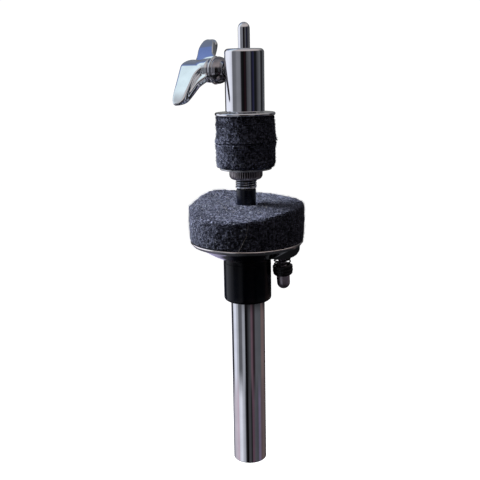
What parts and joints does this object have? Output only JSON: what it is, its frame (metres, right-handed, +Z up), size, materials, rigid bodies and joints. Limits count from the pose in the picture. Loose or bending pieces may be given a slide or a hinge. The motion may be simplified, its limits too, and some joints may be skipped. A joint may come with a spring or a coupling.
{
  "type": "hi-hat stand upper section",
  "caption": "Upper section of a hi-hat cymbal stand: chrome tube with black cap, tilting felt seat, pull rod and clutch with wing screw and felts.",
  "frame": {"origin": "centre of the upper tube's open lower end, where the lower part of the stand takes over", "axes": "+Z up along the tube and the pull rod; +X towards the side with the tilt screw; +Y away from the side that the wings' front blade points to"},
  "size_m": [0.0702, 0.065, 0.2488],
  "materials": {
    "chrome": "polished chrome plate",
    "steel": "zinc-plated steel",
    "dark_nickel": "dark nickel plate, knurled",
    "black_steel": "black oxide",
    "black_plastic": "satin black nylon",
    "white_plastic": "natural nylon",
    "brass": "turned",
    "felt": "pressed wool felt, charcoal"
  },
  "bodies": {
    "base": {"upper_tube": "chrome", "rod_guide_bush": "white_plastic", "tube_cap": "black_plastic", "cap_grub_screw": "black_steel", "seat_sleeve": "black_plastic", "seat_bowl": "chrome", "bowl_screw_1": "steel", "bowl_screw_2": "steel", "bowl_screw_3": "steel", "hinge_pin": "steel", "tilt_bush": "steel", "tilt_spring": "black_steel"},
    "seat": {"seat_plate": "chrome", "seat_felt": "felt"},
    "tilt_carrier": {"tilt_washer": "steel"},
    "tilt_knob": {"tilt_screw": "dark_nickel", "tilt_collar": "black_steel"},
    "rod": {"pull_rod": "chrome", "rod_coupling": "steel", "rod_lock_nut": "steel"},
    "clutch_bushes": {"clutch_upper_bush": "white_plastic", "clutch_lower_bush": "white_plastic"},
    "clutch": {"clutch_barrel": "chrome", "clutch_spindle": "chrome", "upper_felt_washer": "chrome", "clutch_upper_felt": "felt"},
    "clamp": {"clamp_pad": "brass"},
    "wing": {"wing_screw": "steel", "wing_handle": "chrome"},
    "lower_stack": {"clutch_lower_felt": "felt", "lower_felt_washer": "steel"},
    "nut": {"clutch_nut": "dark_nickel"}
  },
  "joints": [
    {"name": "rod_slide", "type": "slide", "parent": "base", "child": "rod", "axis": [0, 0, 1], "range_m": [0, 0.04]},
    {"name": "clutch_height", "type": "slide", "parent": "rod", "child": "clutch_bushes", "axis": [0, 0, 1], "range_m": [0, 0.012]},
    {"name": "clutch_swivel", "type": "hinge", "parent": "clutch_bushes", "child": "clutch", "pos_m": [0, 0, 0.2], "axis": [0, 0, 1], "continuous": true},
    {"name": "clamp_travel", "type": "slide", "parent": "clutch", "child": "clamp", "axis": [-0.8704, 0.4924, 0], "range_m": [0, 0.0021]},
    {"name": "wing_turn", "type": "hinge", "parent": "clamp", "child": "wing", "pos_m": [0, 0, 0.2242], "axis": [-0.8704, 0.4924, 0], "range_deg": [0, 720]},
    {"name": "nut_travel", "type": "slide", "parent": "clutch", "child": "lower_stack", "axis": [0, 0, -1], "range_m": [0, 0.0032]},
    {"name": "nut_turn", "type": "hinge", "parent": "lower_stack", "child": "nut", "pos_m": [0, 0, 0.1686], "axis": [0, 0, -1], "range_deg": [0, 1080]},
    {"name": "seat_tilt", "type": "hinge", "parent": "base", "child": "seat", "pos_m": [-0.016, 0, 0.1282], "axis": [0, -1, 0], "range_deg": [0, 2.94]},
    {"name": "tilt_travel", "type": "slide", "parent": "base", "child": "tilt_carrier", "axis": [-0.0523, 0, 0.9986], "range_m": [0, 0.00182], "deforming": ["tilt_spring"]},
    {"name": "tilt_turn", "type": "hinge", "parent": "tilt_carrier", "child": "tilt_knob", "pos_m": [0.0199, 0, 0.1142], "axis": [-0.0523, 0, 0.9986], "range_deg": [0, 812]}
  ],
  "couplings": [
    {"joint": "clamp_travel", "follows": "wing_turn", "m_per_rad": 0.00015915},
    {"joint": "nut_travel", "follows": "nut_turn", "m_per_rad": 0.00015915},
    {"joint": "tilt_travel", "follows": "seat_tilt", "m_per_rad": 0.035075},
    {"joint": "tilt_turn", "follows": "seat_tilt", "ratio": 275.48}
  ]
}
